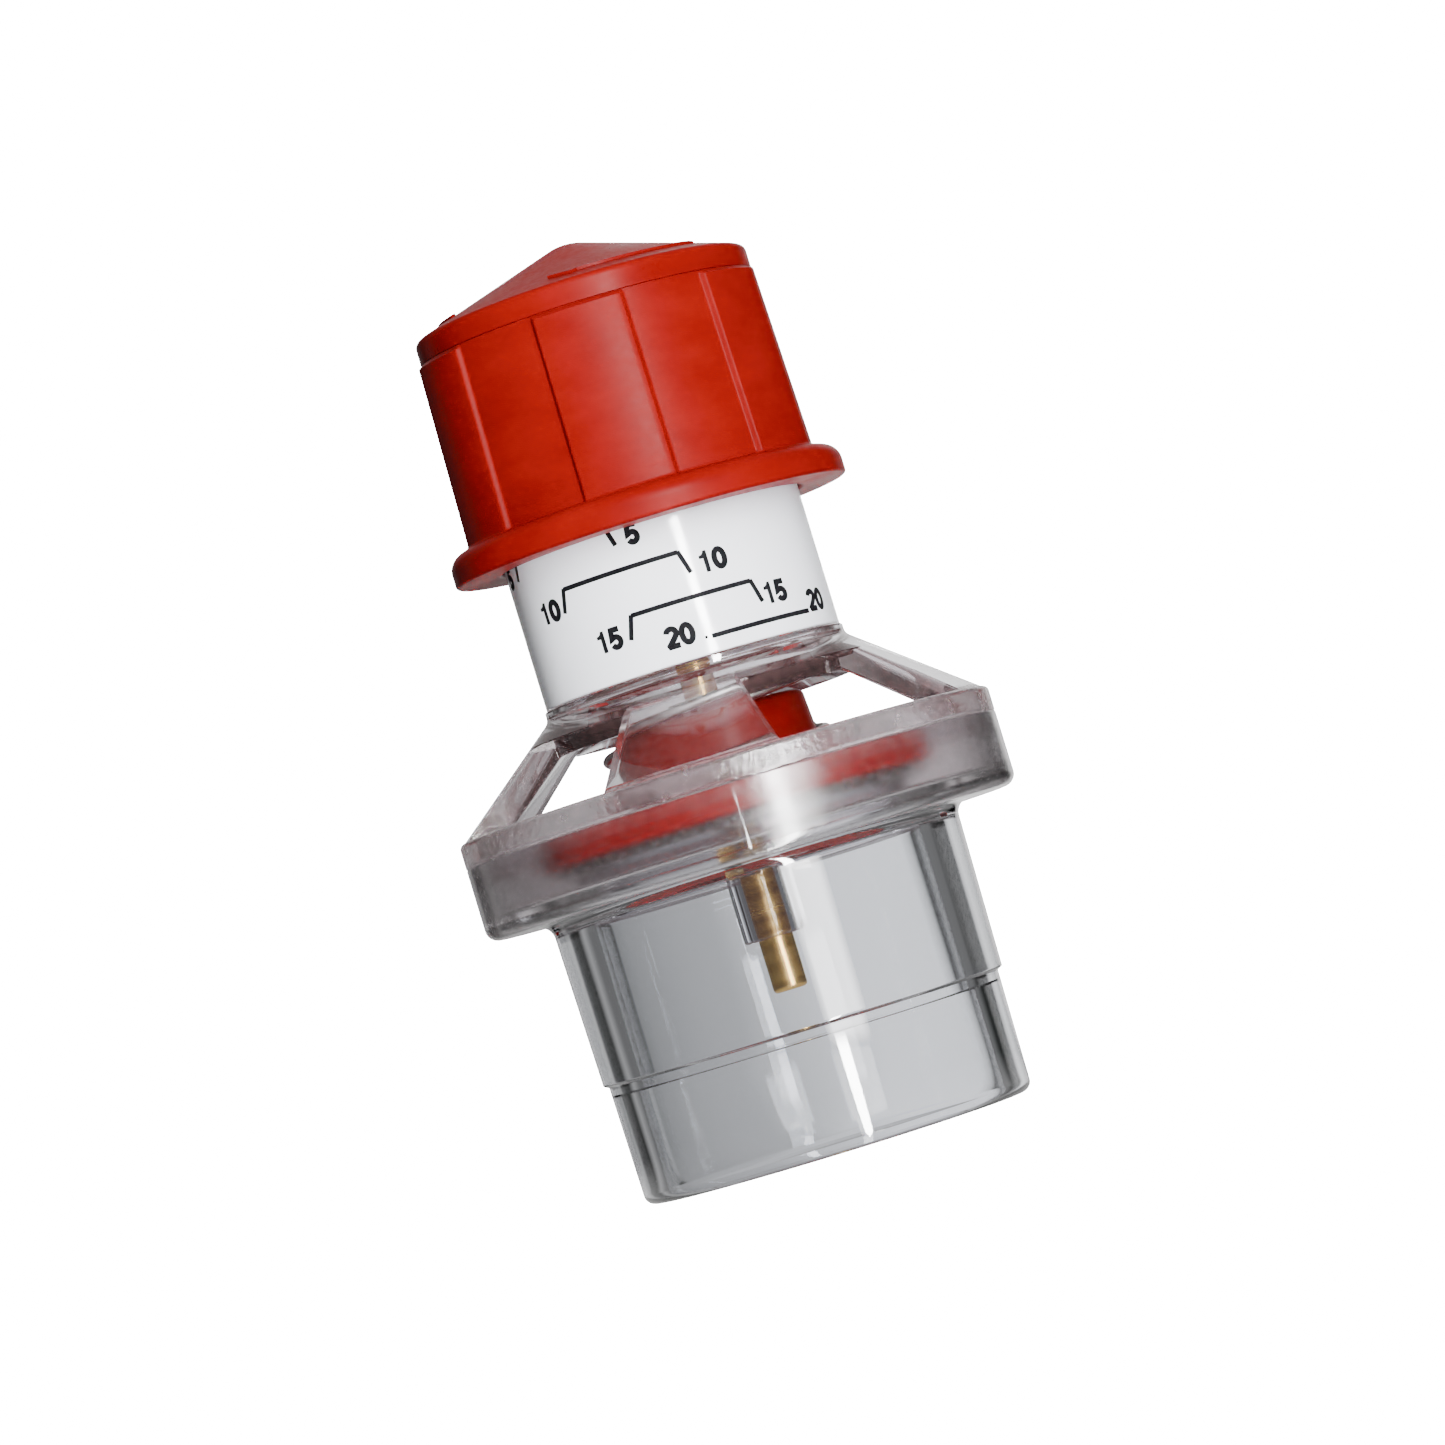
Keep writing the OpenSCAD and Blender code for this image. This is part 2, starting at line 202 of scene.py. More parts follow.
def joined(name, base, others, operation="UNION"):
    """One bmesh from a base and others, by an exact boolean."""
    bodies = []
    for i, bm in enumerate([base] + others):
        bmesh.ops.recalc_face_normals(bm, faces=bm.faces)
        mesh = bpy.data.meshes.new(f"{name}_work_{i}")
        bm.to_mesh(mesh)
        bm.free()
        piece = bpy.data.objects.new(mesh.name, mesh)
        bpy.context.scene.collection.objects.link(piece)
        bodies.append(piece)
    for other in bodies[1:]:
        step = bodies[0].modifiers.new("join", "BOOLEAN")
        step.operation, step.object, step.solver = operation, other, "EXACT"
    done = bodies[0].evaluated_get(bpy.context.evaluated_depsgraph_get())
    bm = bmesh.new()
    bm.from_mesh(done.to_mesh())
    for piece in bodies:
        bpy.data.objects.remove(piece)
    return bm


# ---- materials --------------------------------------------------------------------------------


def new_material(name, base, roughness, **sockets):
    """A material with a Principled shader. Plain values are set on its own sockets."""
    material = bpy.data.materials.new(name)
    material.use_nodes = True
    shader = material.node_tree.nodes["Principled BSDF"]
    shader.inputs["Base Color"].default_value = (*base, 1)
    shader.inputs["Roughness"].default_value = roughness
    for socket, value in sockets.items():
        shader.inputs[socket.replace("_", " ")].default_value = value
    return material, material.node_tree, shader


def place(tree, scale=(1, 1, 1)):
    """The position in the object's own frame, in metres, stretched by scale."""
    where = tree.nodes.new("ShaderNodeTexCoord")
    stretch = tree.nodes.new("ShaderNodeMapping")
    stretch.inputs["Scale"].default_value = scale
    tree.links.new(where.outputs["Object"], stretch.inputs["Vector"])
    return stretch.outputs["Vector"]


def noise(tree, vector, scale, detail=4.0):
    field = tree.nodes.new("ShaderNodeTexNoise")
    field.inputs["Scale"].default_value = scale
    field.inputs["Detail"].default_value = detail
    tree.links.new(vector, field.inputs["Vector"])
    return field.outputs["Fac"]


def spread(tree, value, low, high, source=(0.3, 0.7)):
    """value mapped from the source range to low..high."""
    fit = tree.nodes.new("ShaderNodeMapRange")
    fit.inputs["From Min"].default_value, fit.inputs["From Max"].default_value = source
    fit.inputs["To Min"].default_value, fit.inputs["To Max"].default_value = low, high
    tree.links.new(value, fit.inputs["Value"])
    return fit.outputs["Result"]


def blend_colour(tree, shader, value, first, second, socket="Base Color"):
    mix = tree.nodes.new("ShaderNodeMix")
    mix.data_type = "RGBA"
    mix.inputs["A"].default_value, mix.inputs["B"].default_value = (*first, 1), (*second, 1)
    tree.links.new(value, mix.inputs["Factor"])
    tree.links.new(mix.outputs["Result"], shader.inputs[socket])


def add_bump(tree, shader, height, distance, strength=1.0):
    bump = tree.nodes.new("ShaderNodeBump")
    bump.inputs["Distance"].default_value = distance
    bump.inputs["Strength"].default_value = strength
    tree.links.new(height, bump.inputs["Height"])
    tree.links.new(bump.outputs["Normal"], shader.inputs["Normal"])
    return bump


def blend(tree, share, first, second):
    """first where share is 0 and second where it is 1."""
    kept = maths(tree, "MULTIPLY", first, maths(tree, "SUBTRACT", 1.0, share))
    return maths(tree, "ADD", kept, maths(tree, "MULTIPLY", second, share))


def vector_maths(tree, operation, a, b=None):
    """Work on a vector a and, where it takes two, a fixed vector b."""
    node = tree.nodes.new("ShaderNodeVectorMath")
    node.operation = operation
    tree.links.new(a, node.inputs[0])
    if b is not None:
        node.inputs[1].default_value = b
    return node.outputs["Value" if operation in ("LENGTH", "DOT_PRODUCT") else "Vector"]


def mix_shaders(tree, share, first, second):
    mixer = tree.nodes.new("ShaderNodeMixShader")
    for socket, source in zip(mixer.inputs, (share, first, second)):
        tree.links.new(source, socket)
    return mixer.outputs[0]


def own_xyz(tree):
    """The three coordinates in the object's own frame, in metres."""
    parts = tree.nodes.new("ShaderNodeSeparateXYZ")
    tree.links.new(place(tree), parts.inputs["Vector"])
    return parts.outputs


def maths(tree, operation, a, b=None):
    node = tree.nodes.new("ShaderNodeMath")
    node.operation = operation
    for socket, value in zip(node.inputs, (a, b)):
        if value is None:
            continue
        if isinstance(value, (int, float)):
            socket.default_value = value
        else:
            tree.links.new(value, socket)
    return node.outputs[0]


def red_plastic(name, dark, light, roughness, ripple):
    """Moulded red plastic: slight flow marks in colour and gloss, and faint level ripples."""
    material, tree, shader = new_material(name, light, roughness, Specular_IOR_Level=0.035)
    cloud = noise(tree, place(tree, (1, 1, 2.5)), 160)
    blend_colour(tree, shader, spread(tree, cloud, 0, 1), dark, light)
    fine = noise(tree, place(tree), 1800, 3)
    gloss = maths(tree, "ADD", spread(tree, cloud, -0.05, 0.05), spread(tree, fine, -0.03, 0.03))
    tree.links.new(maths(tree, "ADD", gloss, roughness), shader.inputs["Roughness"])
    level = noise(tree, place(tree, (0.12, 0.12, 1)), 900, 2)
    height = maths(tree, "ADD", maths(tree, "MULTIPLY", level, ripple),
                   maths(tree, "MULTIPLY", fine, ripple * 0.05))
    add_bump(tree, shader, height, 0.00006)
    return material


def paint_plate_light_hub_shade(material, height, below, above):
    """Painted light and shade by height: below a height in metres the colour is lighter, a painted glow for
    light coming through the thin plate, and above it darker, a painted shade on the hub under the cage.
    """
    tree = material.node_tree
    cloud = spread(tree, noise(tree, place(tree), 200), -0.1, 0.1)
    up = spread(tree, own_xyz(tree)["Z"], 0, 1, (height - 0.0005, height + 0.0005))
    blend_colour(tree, tree.nodes["Principled BSDF"], maths(tree, "ADD", up, cloud), below, above)


def in_band(tree, radius, low, high):
    """1 outside a radius and between two heights, and 0 elsewhere, with a narrow soft edge."""
    edge = 0.0001
    x, y, z = own_xyz(tree)
    squares = [maths(tree, "MULTIPLY", part, part) for part in (x, y)]
    away = maths(tree, "SQRT", maths(tree, "ADD", *squares))
    outside = spread(tree, away, 0, 1, (radius - edge, radius + edge))
    above = spread(tree, z, 0, 1, (low - edge, low + edge))
    below = spread(tree, z, 1, 0, (high - edge, high + edge))
    return maths(tree, "MULTIPLY", outside, maths(tree, "MULTIPLY", above, below))


def see_through(tree, stuff):
    """Lets lamps and soft light straight through stuff. A ray that has bent many times ends in a painted
    glow: a dim reddish emission that stands in for the light it would have found.
    """
    through = tree.nodes.new("ShaderNodeBsdfTransparent")
    through.inputs["Color"].default_value = (0.9, 0.9, 0.9, 1)
    # Painted glow: a dim reddish emission in place of the light a ray lost after many bends would bring.
    painted_glow = tree.nodes.new("ShaderNodeEmission")
    painted_glow.inputs["Color"].default_value = (0.19, 0.13, 0.13, 1)
    path = tree.nodes.new("ShaderNodeLightPath").outputs
    lit = maths(tree, "MAXIMUM", path["Is Shadow Ray"], path["Is Diffuse Ray"])
    lost = maths(tree, "GREATER_THAN", path["Ray Depth"], 7.5)
    seen = mix_shaders(tree, lit, stuff, through.outputs[0])
    out = next(n for n in tree.nodes if n.type == "OUTPUT_MATERIAL")
    tree.links.new(mix_shaders(tree, lost, seen, painted_glow.outputs[0]), out.inputs["Surface"])


def clear_plastic(name, tint, polish, matt, milk, frosted):
    """Clear plastic with a matt band.

    polish and matt are the roughness of the clear and the matt parts, and milk is how cloudy each is.
    frosted is the band: its inner radius, its foot and its top, in metres.
    """
    material, tree, shader = new_material(name, tint, 0.03, Transmission_Weight=1.0, IOR=1.58)
    band = in_band(tree, *frosted)
    gloss = spread(tree, noise(tree, place(tree, (1, 1, 0.3)), 300, 3), *polish)
    dull = spread(tree, noise(tree, place(tree), 900, 4), *matt)
    tree.links.new(blend(tree, band, gloss, dull), shader.inputs["Roughness"])
    blend_colour(tree, shader, band, tint, (0.62, 0.58, 0.60))

    grain = maths(tree, "MULTIPLY", band, noise(tree, place(tree), 1500, 5))
    sparkle = spread(tree, own_xyz(tree)["Z"], 0.01, 9, (0.0318, 0.0326))
    wave = noise(tree, place(tree, (1, 1, 0.4)), 220, 2)
    height = maths(tree, "ADD", maths(tree, "MULTIPLY", grain, sparkle), maths(tree, "MULTIPLY", wave, 0.5))
    bump = add_bump(tree, shader, height, 0.00001)

    cloudy = tree.nodes.new("ShaderNodeBsdfDiffuse")
    blend_colour(tree, cloudy, band, (0.36, 0.19, 0.19), (0.40, 0.30, 0.32), "Color")
    tree.links.new(bump.outputs["Normal"], cloudy.inputs["Normal"])
    specks = spread(tree, noise(tree, place(tree, (1, 1, 0.6)), 1600, 5), 0.2, 1.8)
    share = maths(tree, "MULTIPLY", spread(tree, band, *milk, (0, 1)), specks)
    see_through(tree, mix_shaders(tree, share, shader.outputs[0], cloudy.outputs[0]))
    return material


def turned_metal(name, dark, light, roughness, pitch):
    """Bare metal with fine turning marks round Z."""
    material, tree, shader = new_material(name, light, roughness, Metallic=1.0)
    marks = noise(tree, place(tree, (0.05, 0.05, 1)), 1 / pitch, 3)
    blend_colour(tree, shader, spread(tree, marks, 0, 1), dark, light)
    tree.links.new(spread(tree, marks, roughness - 0.08, roughness + 0.08), shader.inputs["Roughness"])
    add_bump(tree, shader, marks, 0.00001, 0.5)
    return material


def soft_plastic(name, dark, light, roughness, scale=1200, depth=0.00003, **sockets):
    """Plain moulded or rubbery stuff: fine grain in colour, gloss and height."""
    material, tree, shader = new_material(name, light, roughness, **sockets)
    cloud = noise(tree, place(tree), scale / 6)
    grain = noise(tree, place(tree), scale, 3)
    blend_colour(tree, shader, spread(tree, cloud, 0, 1), dark, light)
    tree.links.new(spread(tree, grain, roughness - 0.05, roughness + 0.05), shader.inputs["Roughness"])
    add_bump(tree, shader, grain, depth)
    return material


CLEAR = clear_plastic("clear_body", (0.885, 0.90, 0.935), polish=(0.006, 0.025), matt=(0.14, 0.22),
                      milk=(0, 0), frosted=(0.0192, 0.0250, 0.0320))
CLEAR_CAGE = clear_plastic("clear_cage", (0.89, 0.90, 0.93), polish=(0.02, 0.05), matt=(0.19, 0.28),
                           milk=(0.024, 0.045), frosted=(0.0228, 0.0317, 0.0350))
RED = red_plastic("red_cap", (0.108, 0.0016, 0.0012), (0.132, 0.0026, 0.0018), 0.38, 1.0)
RED_COVER = red_plastic("red_cover", (0.108, 0.0016, 0.0012), (0.132, 0.0026, 0.0018), 0.34, 0.1)
RED_DISC = red_plastic("red_disc", (0.055, 0.002, 0.0015), (0.075, 0.003, 0.002), 0.34, 0.1)
# Painted light and shade on the disc: lighter on the thin plate below 32.5 mm, standing in for light through
# it, and darker on the hub above, a painted shade under the cage.
paint_plate_light_hub_shade(RED_DISC, 0.0325, (0.22, 0.004, 0.003), (0.07, 0.002, 0.0015))
WHITE = soft_plastic("white_sleeve", (0.72, 0.735, 0.78), (0.76, 0.775, 0.82), 0.12, 500, 0.00001)
INK = soft_plastic("scale_ink", (0.003, 0.003, 0.004), (0.006, 0.006, 0.007), 0.6, Specular_IOR_Level=0.03)
SILICONE = soft_plastic("silicone", (0.80, 0.79, 0.78), (0.88, 0.87, 0.86), 0.25,
                        Transmission_Weight=0.95, IOR=1.41)
CLEAR_RUBBER = soft_plastic("clear_rubber", (0.90, 0.88, 0.88), (0.95, 0.93, 0.93), 0.1, depth=0.000001,
                            Transmission_Weight=1.0, IOR=1.1)
RUBBER = soft_plastic("black_rubber", (0.012, 0.012, 0.013), (0.022, 0.022, 0.024), 0.55)
ACETAL = soft_plastic("acetal", (0.42, 0.42, 0.40), (0.48, 0.48, 0.46), 0.35)
BRASS = turned_metal("brass", (0.62, 0.38, 0.13), (0.80, 0.54, 0.20), 0.24, 0.0016)
STEEL = turned_metal("spring_steel", (0.24, 0.22, 0.21), (0.36, 0.34, 0.33), 0.32, 0.0012)

# ---- clear housing ----------------------------------------------------------------------------


SEAM_LIFT = 0.04


def parting_line(a, r, z):
    """The flange has a hair-thin mould line on two sides."""
    off = abs((math.degrees(a) - VIEW_ANGLE + 90) % 180 - 90)
    raised = r > BARREL_R + 4 and FLANGE_Z + 0.8 < z < SPLIT_Z - 0.2 and off < 0.4
    return r + (SEAM_LIFT if raised else 0)


def seam_angles():
    """Even steps, with fine ones at the mould lines."""
    fine = [math.radians(VIEW_ANGLE + side + d) for side in (0, 180) for d in (-0.6, -0.35, 0, 0.35, 0.6)]
    return sorted({round(a % TURN, 6) for a in even_angles(192) + fine})


def inlet_outline():
    step_r = MOUTH_R + 0.15
    top_r = BARREL_R + 0.25
    groove_r = TONGUE_R + 0.05
    gasket_z = bottom_of("body_gasket")
    return (
        [(BORE_R, 0.55), (BORE_R + 0.45, 0.06), (BORE_R + 0.55, 0)]
        + arc(MOUTH_R - 0.9, 0.9, 0.9, -90, 0)
        + [(step_r, STEP_Z - 0.05)]
        + arc(BARREL_R - 0.18, STEP_Z + 0.30, 0.18, -60, 0, 4)
        + arc(top_r + 1.2, FLANGE_Z - 1.2, 1.2, 180, 90)
        + arc(FLANGE_R - 1.1, FLANGE_Z + 1.1, 1.1, -90, 0)
        + arc(FLANGE_R - 0.12, SPLIT_Z - 0.14, 0.12, 0, 90, 3)
        + [(groove_r, SPLIT_Z - 0.02), (groove_r, gasket_z), (CHAMBER_R, gasket_z)]
        + arc(CHAMBER_R - 0.5, FLOOR_Z + 0.5, 0.5, 0, -90, 4)
        + arc(SEAT_R + 0.3, FLOOR_Z + 0.3, 0.3, 270, 180, 3)
        + arc(SEAT_R - 0.45, SEAT_Z - 0.45, 0.45, 0, 90, 4)
        + arc(PASSAGE_R + 0.25, SEAT_Z - 0.25, 0.25, 90, 180, 3)
        + arc(PASSAGE_R + 0.3, BORE_TOP + 0.3, 0.3, 180, 270, 3)
        + arc(THROAT_R - 0.3, BORE_TOP - 0.3, 0.3, 90, 0, 3)
        + arc(THROAT_R + 0.15, LEDGE_Z + 0.15, 0.15, 180, 270, 3)
        + [(BORE_R, LEDGE_Z)]
    )


def build_inlet():
    shell = lathe(inlet_outline(), seam_angles(), parting_line)
    boss = lathe([(PIN_R + 0.06, BOSS_Z + 0.2), (PIN_R + 0.26, BOSS_Z)]
                 + arc(BOSS_R - 0.3, BOSS_Z + 0.3, 0.3, -90, 0, 4)
                 + arc(BOSS_R - 0.3, BOSS_TOP - 0.3, 0.3, 0, 90, 4)
                 + [(PIN_R + 0.06, BOSS_TOP)], even_angles(64))
    low, high = (BOSS_R - 0.5, -ARM_W / 2, BORE_TOP - 0.4), (PASSAGE_R + 0.4, ARM_W / 2, FLOOR_Z)
    arms = [add_box(low, high, turn, 0.15) for turn in (45, 135, 225, 315)]
    whole = joined("inlet", shell, [boss] + arms)
    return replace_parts(make_object("housing_inlet", whole, "housing", CLEAR), "inlet_body")


def cone_height(r, drop=0.0):
    """Height of the cone's outer face at radius r, or of a face straight below it."""
    return FLANGE_TOP + (CONE_TOP - FLANGE_TOP) / (CONE_FOOT_R - CONE_R) * (CONE_FOOT_R - r) - drop


def build_cage():
    """Cage: a turned wall whose cone is left out between the ribs, with the cut faces added."""
    rise, run = CONE_TOP - FLANGE_TOP, CONE_FOOT_R - CONE_R
    drop = CONE_WALL * math.hypot(rise, run) / run
    outer_top_r = CONE_FOOT_R - (WINDOW_TOP - FLANGE_TOP) * run / rise
    inner_foot_r = CONE_FOOT_R - drop * run / rise
    # The flange's arc stops short of 90 degrees, because foot is its last point.
    low = ([(CHAMBER_R, TONGUE_Z), (TONGUE_R, TONGUE_Z), (TONGUE_R, SPLIT_Z), (FLANGE_R - 0.12, SPLIT_Z)]
           + arc(FLANGE_R - 0.10, SPLIT_Z + 0.12, 0.10, -60, 0, 3)
           + arc(FLANGE_R - FLANGE_ROUND, FLANGE_TOP - FLANGE_ROUND, FLANGE_ROUND, 0, 80))
    foot, brow = (CONE_FOOT_R, FLANGE_TOP), (outer_top_r, WINDOW_TOP)
    fillet, round_by, under_sleeve = 0.9, 0.15, SLEEVE_Z - 0.02
    fillet_z = cone_height(NECK_FOOT_R + fillet) + fillet * math.hypot(rise, run) / run
    neck = (arc(NECK_FOOT_R + fillet, fillet_z, fillet, 270 - math.degrees(math.atan2(rise, run)), 180, 5)
            + [(NECK_FOOT_R, SLEEVE_Z - round_by), (NECK_FOOT_R - round_by, under_sleeve),
               (NECK_R, under_sleeve), (NECK_R, NECK_TOP - 0.3), (NECK_R - 0.3, NECK_TOP),
               (NECK_BORE_R + 0.1, NECK_TOP), (NECK_BORE_R, NECK_TOP - 0.1),
               (NECK_BORE_R, cone_height(NECK_BORE_R, drop))])
    lip = (NECK_FOOT_R, cone_height(NECK_FOOT_R, drop))
    sill, shoulder = (inner_foot_r, FLANGE_TOP), (CHAMBER_R, cone_height(CHAMBER_R, drop))
    outline = held(low) + [foot, brow] + held(neck) + [lip, sill, shoulder]
    ceiling = (NECK_FOOT_R, WINDOW_TOP)
    at = {p: outline.index(p) for p in (foot, brow, lip, sill)}
    edges = [math.radians(360 / WINDOWS * i + side * WINDOW_ANGLE / 2)
             for i in range(WINDOWS) for side in (-1, 1)]
    angles = sorted({round(a % TURN, 7) for a in even_angles(192) + edges})
    bm = bmesh.new()

    def ring(point):
        return [bm.verts.new((point[0] * math.cos(a), point[0] * math.sin(a), point[1])) for a in angles]

    rings, top = [ring(p) for p in outline], ring(ceiling)
    half = math.radians(WINDOW_ANGLE / 2)

    def open_at(a):
        return abs((a + TURN / WINDOWS / 2) % (TURN / WINDOWS) - TURN / WINDOWS / 2) < half

    def quad(first, second, k, n):
        return bm.faces.new([first[k], first[n], second[n], second[k]])

    soft = []
    for k, a in enumerate(angles):
        n = (k + 1) % len(angles)
        is_open = open_at((a + ((angles[n] - a) % TURN) / 2) % TURN)
        for i in range(len(outline)):
            j = (i + 1) % len(outline)
            if is_open and i in (at[foot], at[lip]):
                continue
            quad(rings[i], rings[j], k, n)
        if is_open:
            quad(rings[at[brow]], top, k, n)
            quad(top, rings[at[lip]], k, n)
            quad(rings[at[sill]], rings[at[foot]], k, n)
            soft += [(rings[at[brow]][k], rings[at[brow]][n]), (rings[at[sill]][k], rings[at[sill]][n])]
        if is_open != open_at((a - 1e-4) % TURN):
            corners = [rings[at[p]][k] for p in (foot, brow, lip, sill)]
            corners.insert(2, top[k])
            bm.faces.new(corners)
            soft += [(rings[at[foot]][k], rings[at[brow]][k]), (rings[at[lip]][k], rings[at[sill]][k])]
    bmesh.ops.recalc_face_normals(bm, faces=bm.faces)
    chosen = [e for e in (bm.edges.get(pair) for pair in soft) if e]
    bmesh.ops.bevel(bm, geom=chosen, offset=0.18, segments=2, affect="EDGES", clamp_overlap=True)
    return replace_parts(make_object("housing_cage", bm, "housing", CLEAR_CAGE), "cage_body")


build_inlet()
build_cage()

# ---- scale sleeve and its print ---------------------------------------------------------------


def build_sleeve():
    inner = NECK_R + 0.05
    outline = ([(inner, SLEEVE_Z + 0.05), (inner + 0.05, SLEEVE_Z)]
               + arc(SLEEVE_R - 0.15, SLEEVE_Z + 0.15, 0.15, -90, 0, 4)
               + arc(SLEEVE_R - 0.25, SLEEVE_TOP - 0.25, 0.25, 0, 90, 4) + [(inner, SLEEVE_TOP)])
    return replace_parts(make_object("sleeve", lathe(outline), "housing", WHITE), "scale_sleeve")


def flat_bar(bm, points):
    """A flat polygon of (along, height) points in the XZ plane."""
    bm.faces.new([bm.verts.new((x, 0, z)) for x, z in points])


def flat_line(bm, start, end, width):
    along = Vector((end[0] - start[0], end[1] - start[1])).normalized() * width / 2
    side = (-along.y, along.x)
    flat_bar(bm, [(start[0] + side[0], start[1] + side[1]), (start[0] - side[0], start[1] - side[1]),
                  (end[0] - side[0], end[1] - side[1]), (end[0] + side[0], end[1] + side[1])])


def flat_stroke(bm, points, width, closed=False):
    """A strip of even width along a line of points, with its corners mitred."""
    count = len(points)
    rails = []
    for i, point in enumerate(points):
        before = points[i - 1] if closed or i else point
        after = points[(i + 1) % count] if closed or i < count - 1 else point
        first = Vector((point[0] - before[0], point[1] - before[1]))
        second = Vector((after[0] - point[0], after[1] - point[1]))
        first = first.normalized() if first.length else second.normalized()
        second = second.normalized() if second.length else first
        across = Vector((-first.y - second.y, first.x + second.x)).normalized()
        reach = width / 2 / max(across.dot(Vector((-first.y, first.x))), 0.5)
        rails.append([bm.verts.new((point[0] + r * across.x, 0, point[1] + r * across.y))
                      for r in (-reach, reach)])
    for i in range(count if closed else count - 1):
        low, high = rails[i], rails[(i + 1) % count]
        bm.faces.new([low[0], high[0], high[1], low[1]])


def oval(x, y, wide, high, start, end, steps=14):
    turn = [math.radians(start + (end - start) * i / steps) for i in range(steps + 1)]
    return [(x + wide * math.cos(a), y + high * math.sin(a)) for a in turn]


# Middle lines of the numerals, in a cell that is 0.66 wide and 1 high.
PEN = 0.265
NUMERALS = {
    "0": oval(0.33, 0.5, 0.23, 0.40, 0, 360, 26)[:-1],
    "2": (oval(0.33, 0.68, 0.22, 0.22, 170, -20, 12)
          + [(0.42, 0.45), (0.14, 0.15), (0.16, 0.10), (0.60, 0.10)]),
    "5": [(0.58, 0.90), (0.19, 0.90), (0.14, 0.50)] + oval(0.32, 0.33, 0.22, 0.235, 125, -155, 16),
}
ONE = [(0.10, 0.66), (0.10, 0.80), (0.22, 0.83), (0.30, 0.90), (0.33, 1.0), (0.48, 1.0), (0.48, 0), (0.28, 0),
       (0.28, 0.66)]


def flat_number(bm, word, left, base, width, height):
    """A plain bold number, from its left edge and baseline, stretched to a width and a height."""
    cell = width / len(word)
    for i, digit in enumerate(word):
        made = bmesh.new()
        if digit == "1":
            flat_bar(made, ONE)
        else:
            flat_stroke(made, NUMERALS[digit], PEN, digit == "0")
        for v in made.verts:
            v.co.x = left + cell * (i + v.co.x / 0.68)
            v.co.z = base + height * v.co.z
        add_bmesh(bm, made)


def add_bmesh(bm, other):
    """Moves what another bmesh holds into this one."""
    mesh = bpy.data.meshes.new("part")
    other.to_mesh(mesh)
    other.free()
    bm.from_mesh(mesh)
    bpy.data.meshes.remove(mesh)


def wrap(bm, radius, turn, thickness):
    """Bends a flat figure round Z at a radius, turned by degrees, and gives it a thickness."""
    bmesh.ops.remove_doubles(bm, verts=bm.verts, dist=1e-5)
    low = min(v.co.x for v in bm.verts)
    high = max(v.co.x for v in bm.verts)
    steps = int((high - low) / 0.25) + 1
    for i in range(1, steps):
        cut = low + (high - low) * i / steps
        whole = bm.verts[:] + bm.edges[:] + bm.faces[:]
        bmesh.ops.bisect_plane(bm, geom=whole, plane_co=(cut, 0, 0), plane_no=(1, 0, 0))
    made = bmesh.ops.extrude_face_region(bm, geom=bm.faces[:])
    lifted = {v for v in made["geom"] if isinstance(v, bmesh.types.BMVert)}
    for v in bm.verts:
        a = v.co.x / radius + math.radians(turn)
        r = radius + (thickness if v in lifted else 0.004)
        v.co.x, v.co.y = r * math.cos(a), r * math.sin(a)


LINE_W, DIGIT_H = 0.40, 1.85
LEG = (0.6, 1.95)  # how far out and down a leg goes
# Each mark: its height, where its line starts and ends, and where each of its numbers starts and how
# wide it is, in degrees from the front.
MARKS = {
    "5": (55.79, (-64.0, -16.9), ((-78.4, 6.1), (-9.9, 5.5))),
    "10": (51.76, (-40.5, 6.8), ((-56.9, 11.9), (12.9, 11.4))),
    "15": (47.83, (-16.4, 30.6), ((-33.1, 11.2), (34.4, 11.4))),
    "20": (44.22, (10.0, 54.9), ((-6.9, 11.4), (56.1, 12.0))),
}


def build_mark(word):
    """One line of the scale with its numbers, printed on both sides of the sleeve."""
    height, (start, end), numbers = MARKS[word]
    along = math.radians(1) * SLEEVE_R
    whole = bmesh.new()
    for side in (0, 180):
        bm = bmesh.new()
        flat_line(bm, (start * along, height), (end * along, height), LINE_W)
        if word == "20":
            dot = [((start - back) * along, height + 0.05) for back in (2.6, 1.6)]
            flat_line(bm, *dot, 0.24)
            base = height - 0.1
        else:
            flat_line(bm, (start * along, height + 0.08), (start * along - LEG[0], height - LEG[1]), LINE_W)
            flat_line(bm, (end * along, height + 0.08), (end * along + LEG[0], height - LEG[1]), LINE_W)
            base = height - 0.45 - DIGIT_H
        for left, wide in numbers:
            flat_number(bm, word, left * along, base, wide * along, DIGIT_H)
        wrap(bm, SLEEVE_R, VIEW_ANGLE + side, 0.02)
        add_bmesh(whole, bm)
    return make_object("scale_mark_" + word, whole, "housing", INK)


build_sleeve()
for word in MARKS:
    build_mark(word)

# ---- cap --------------------------------------------------------------------------------------


def grip_edges():
    half = 90 / GRIPS
    return [GRIP_ANGLE + 360 / GRIPS * i + side * half for i in range(GRIPS) for side in (-1, 1)]


def smooth(x):
    x = min(max(x, 0.0), 1.0)
    return x * x * (3 - 2 * x)


def grip_radius(a, r, z):
    """The recesses sit a little lower than the panels, with soft edges."""
    if not (RIM_TOP < z < COVER_Z - 0.01 and r > CAP_BORE_R + 0.5):
        return r
    off = abs((math.degrees(a) - GRIP_ANGLE + 180 / GRIPS) % (360 / GRIPS) - 180 / GRIPS)
    raised = 1 - smooth((off - (90 / GRIPS - 0.9)) / 1.8)
    ends = smooth((COVER_Z - 0.05 - z) / 0.35)
    return r - GRIP_DEPTH + GRIP_DEPTH * raised * ends


